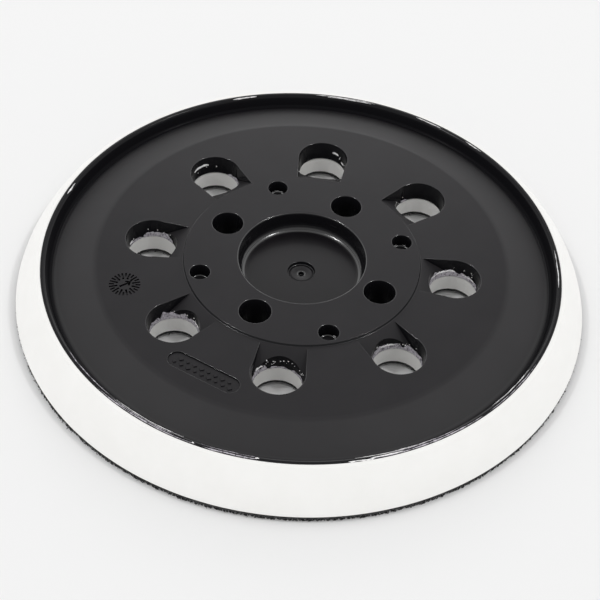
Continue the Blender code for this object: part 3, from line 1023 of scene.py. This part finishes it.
def make_leftovers_and_glints():
    """Foam left on the plate, with painted glints and highlights made as foam among it: stained skins in one
    piece, pale skins, lines and crumbs in another.
    """
    stained, pale = bmesh.new(), bmesh.new()
    for shape, rows in ((stained, STAINED_FLASH), (pale, WHITE_FLASH_AND_GLINTS)):
        for hole, start, end, foot, rise, seed in rows:
            add_flash_and_glint(shape, DUST_ANGLES[hole], from_front(start), from_front(end), foot, rise, seed)
    # Painted highlights: pale rings round the locating holes' feet.
    for number, angle in enumerate(LOCATING_ANGLES):
        centre = on_circle(LOCATING_CIRCLE, angle)
        add_painted_foot_highlight(pale, centre, LOCATING_RADIUS, LOCATING_FLOOR, 0.24, number + 0.6)
    for shape, rows in ((pale, LIP_SKINS_AND_GLINTS), (stained, STAINED_SKINS)):
        for start, end, radius, width, rise, seed in rows:
            add_lip_skin_and_glint(shape, from_front(start), from_front(end), radius, width, rise, seed)
    for hole, start, end, lowest, highest, count in CRUMBS:
        for _ in range(count):
            around = from_front(random.uniform(start, end))
            height, size = random.uniform(lowest, highest), random.uniform(0.16, 0.42)
            add_crumb(pale, DUST_ANGLES[hole], around, height, size)
    # The pale piece holds painted glints, and the painted highlights round the locating holes' feet, besides
    # foam.
    for name, shape, surface in (
        ("foam_flash", stained, flash_surface()), ("pale_foam_and_glints", pale, skin_and_glint_surface()),
    ):
        finish_piece(mesh_object(name, shape), surface, math.radians(60), weighted=False)


def make_film():
    """The hot-melt film between the foam and the fabric."""
    top = FOAM_BOTTOM - 0.02
    outline = [(0, top), (PAD_RADIUS - 0.55, top), (PAD_RADIUS - 0.5, FILM_UNDERSIDE), (0, FILM_UNDERSIDE)]
    film = punched_disc(
        "bond_film", outline, TURNED_SEGMENTS, DUST_RADIUS + 0.1, SCREW_HEAD_RADIUS + 0.1,
    )
    finish_piece(film, plain_surface("hot_melt", FILM_COLOUR, 0.5))
    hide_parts("adhesive_film")
    return film


def make_ground():
    """The fabric's woven ground, with an edge that isn't cut quite round."""
    outline = [
        (0, GROUND_TOP), (PAD_RADIUS - 0.5, GROUND_TOP), (PAD_RADIUS, 1.08), (PAD_RADIUS, 0.85),
        (PAD_RADIUS - 0.5, GROUND_BOTTOM), (0, GROUND_BOTTOM),
    ]
    ground = punched_disc("hook_ground", outline, GROUND_SEGMENTS, DUST_RADIUS, SCREW_HEAD_RADIUS)
    for vert in ground.data.vertices:
        if vert.co.xy.length > (PAD_RADIUS - 0.1) * MM:
            vert.co.xy *= 1 + (0.09 * fractal(vert.co / MM, 1.3) - 0.09) / PAD_RADIUS
    finish_piece(ground, weave_surface())
    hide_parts("hook_disc")
    return ground


random.seed(11)

make_plate()
make_foam(foam_surface())
make_leftovers_and_glints()
film = make_film()
ground = make_ground()
thread = plain_surface("hook_thread", THREAD_COLOUR, 0.6)
pile = make_hooks(thread)
edge = make_edge(thread)


# ---- Floor, light and camera ----

FLOOR_GREY = 0.885
SKY_AT_HORIZON, SKY_ABOVE = 1.38, 0.46


def glow(name, azimuth, elevation, distance, size, radiance):
    """A square soft light of this radiance, aimed at the pad."""
    light = bpy.data.lights.new(name, "AREA")
    light.size = size
    light.energy = radiance * math.pi * size**2
    lamp = bpy.data.objects.new(name, light)
    bpy.context.scene.collection.objects.link(lamp)
    way = direction(azimuth, elevation)
    lamp.location = way * distance
    lamp.rotation_euler = (-way).to_track_quat("-Z", "Y").to_euler()
    return lamp


floor_shape = bmesh.new()
bmesh.ops.create_grid(floor_shape, x_segments=1, y_segments=1, size=3)
floor = mesh_object("floor", floor_shape, smooth=False)
floor_paper = bpy.data.materials.new("floor_paper")
floor_paper.use_nodes = True
paper = floor_paper.node_tree.nodes["Principled BSDF"].inputs
paper["Base Color"].default_value = (FLOOR_GREY, FLOOR_GREY, FLOOR_GREY, 1)
paper["Roughness"].default_value = 1.0
paper["Specular IOR Level"].default_value = 0.0
floor.data.materials.append(floor_paper)

# A white room that is brighter at the horizon than overhead.
world = bpy.data.worlds.new("soft_room")
world.use_nodes = True
sky = world.node_tree
outwards = sky.nodes.new("ShaderNodeTexCoord")
split = sky.nodes.new("ShaderNodeSeparateXYZ")
sky.links.new(outwards.outputs["Generated"], split.inputs["Vector"])
strength = spread(sky, split.outputs["Z"], SKY_AT_HORIZON, SKY_ABOVE, 0.0, 1.0)
sky.links.new(strength, sky.nodes["Background"].inputs["Strength"])
sky.nodes["Background"].inputs["Color"].default_value = (1, 1, 1, 1)
bpy.context.scene.world = world

for name, side in (("soft_light_left", -1), ("soft_light_right", 1)):
    azimuth = CAMERA_AZIMUTH + side * math.radians(90)
    glow(name, azimuth, math.radians(62), 1.1, 0.07, 100.0)
glow("soft_light_back", CAMERA_AZIMUTH + math.pi, math.radians(30), 1.0, 0.4, 1.6)

camera_data = bpy.data.cameras.new("camera")
camera_data.lens = CAMERA_LENS
camera_data.sensor_width = SENSOR_WIDTH
camera = bpy.data.objects.new("camera", camera_data)
bpy.context.scene.collection.objects.link(camera)
outward = direction(CAMERA_AZIMUTH, CAMERA_ELEVATION)
sideways = Vector((0, 0, 1)).cross(outward).normalized()
upright = outward.cross(sideways)
right = sideways * math.cos(CAMERA_ROLL) + upright * math.sin(CAMERA_ROLL)
up = upright * math.cos(CAMERA_ROLL) - sideways * math.sin(CAMERA_ROLL)
axes = Matrix((right, up, outward)).transposed().to_4x4()
camera.matrix_world = Matrix.Translation((Vector(CAMERA_TARGET) + outward * CAMERA_DISTANCE) * MM) @ axes
bpy.context.scene.camera = camera
bpy.context.scene.view_settings.view_transform = "Standard"

bpy.context.view_layer.update()
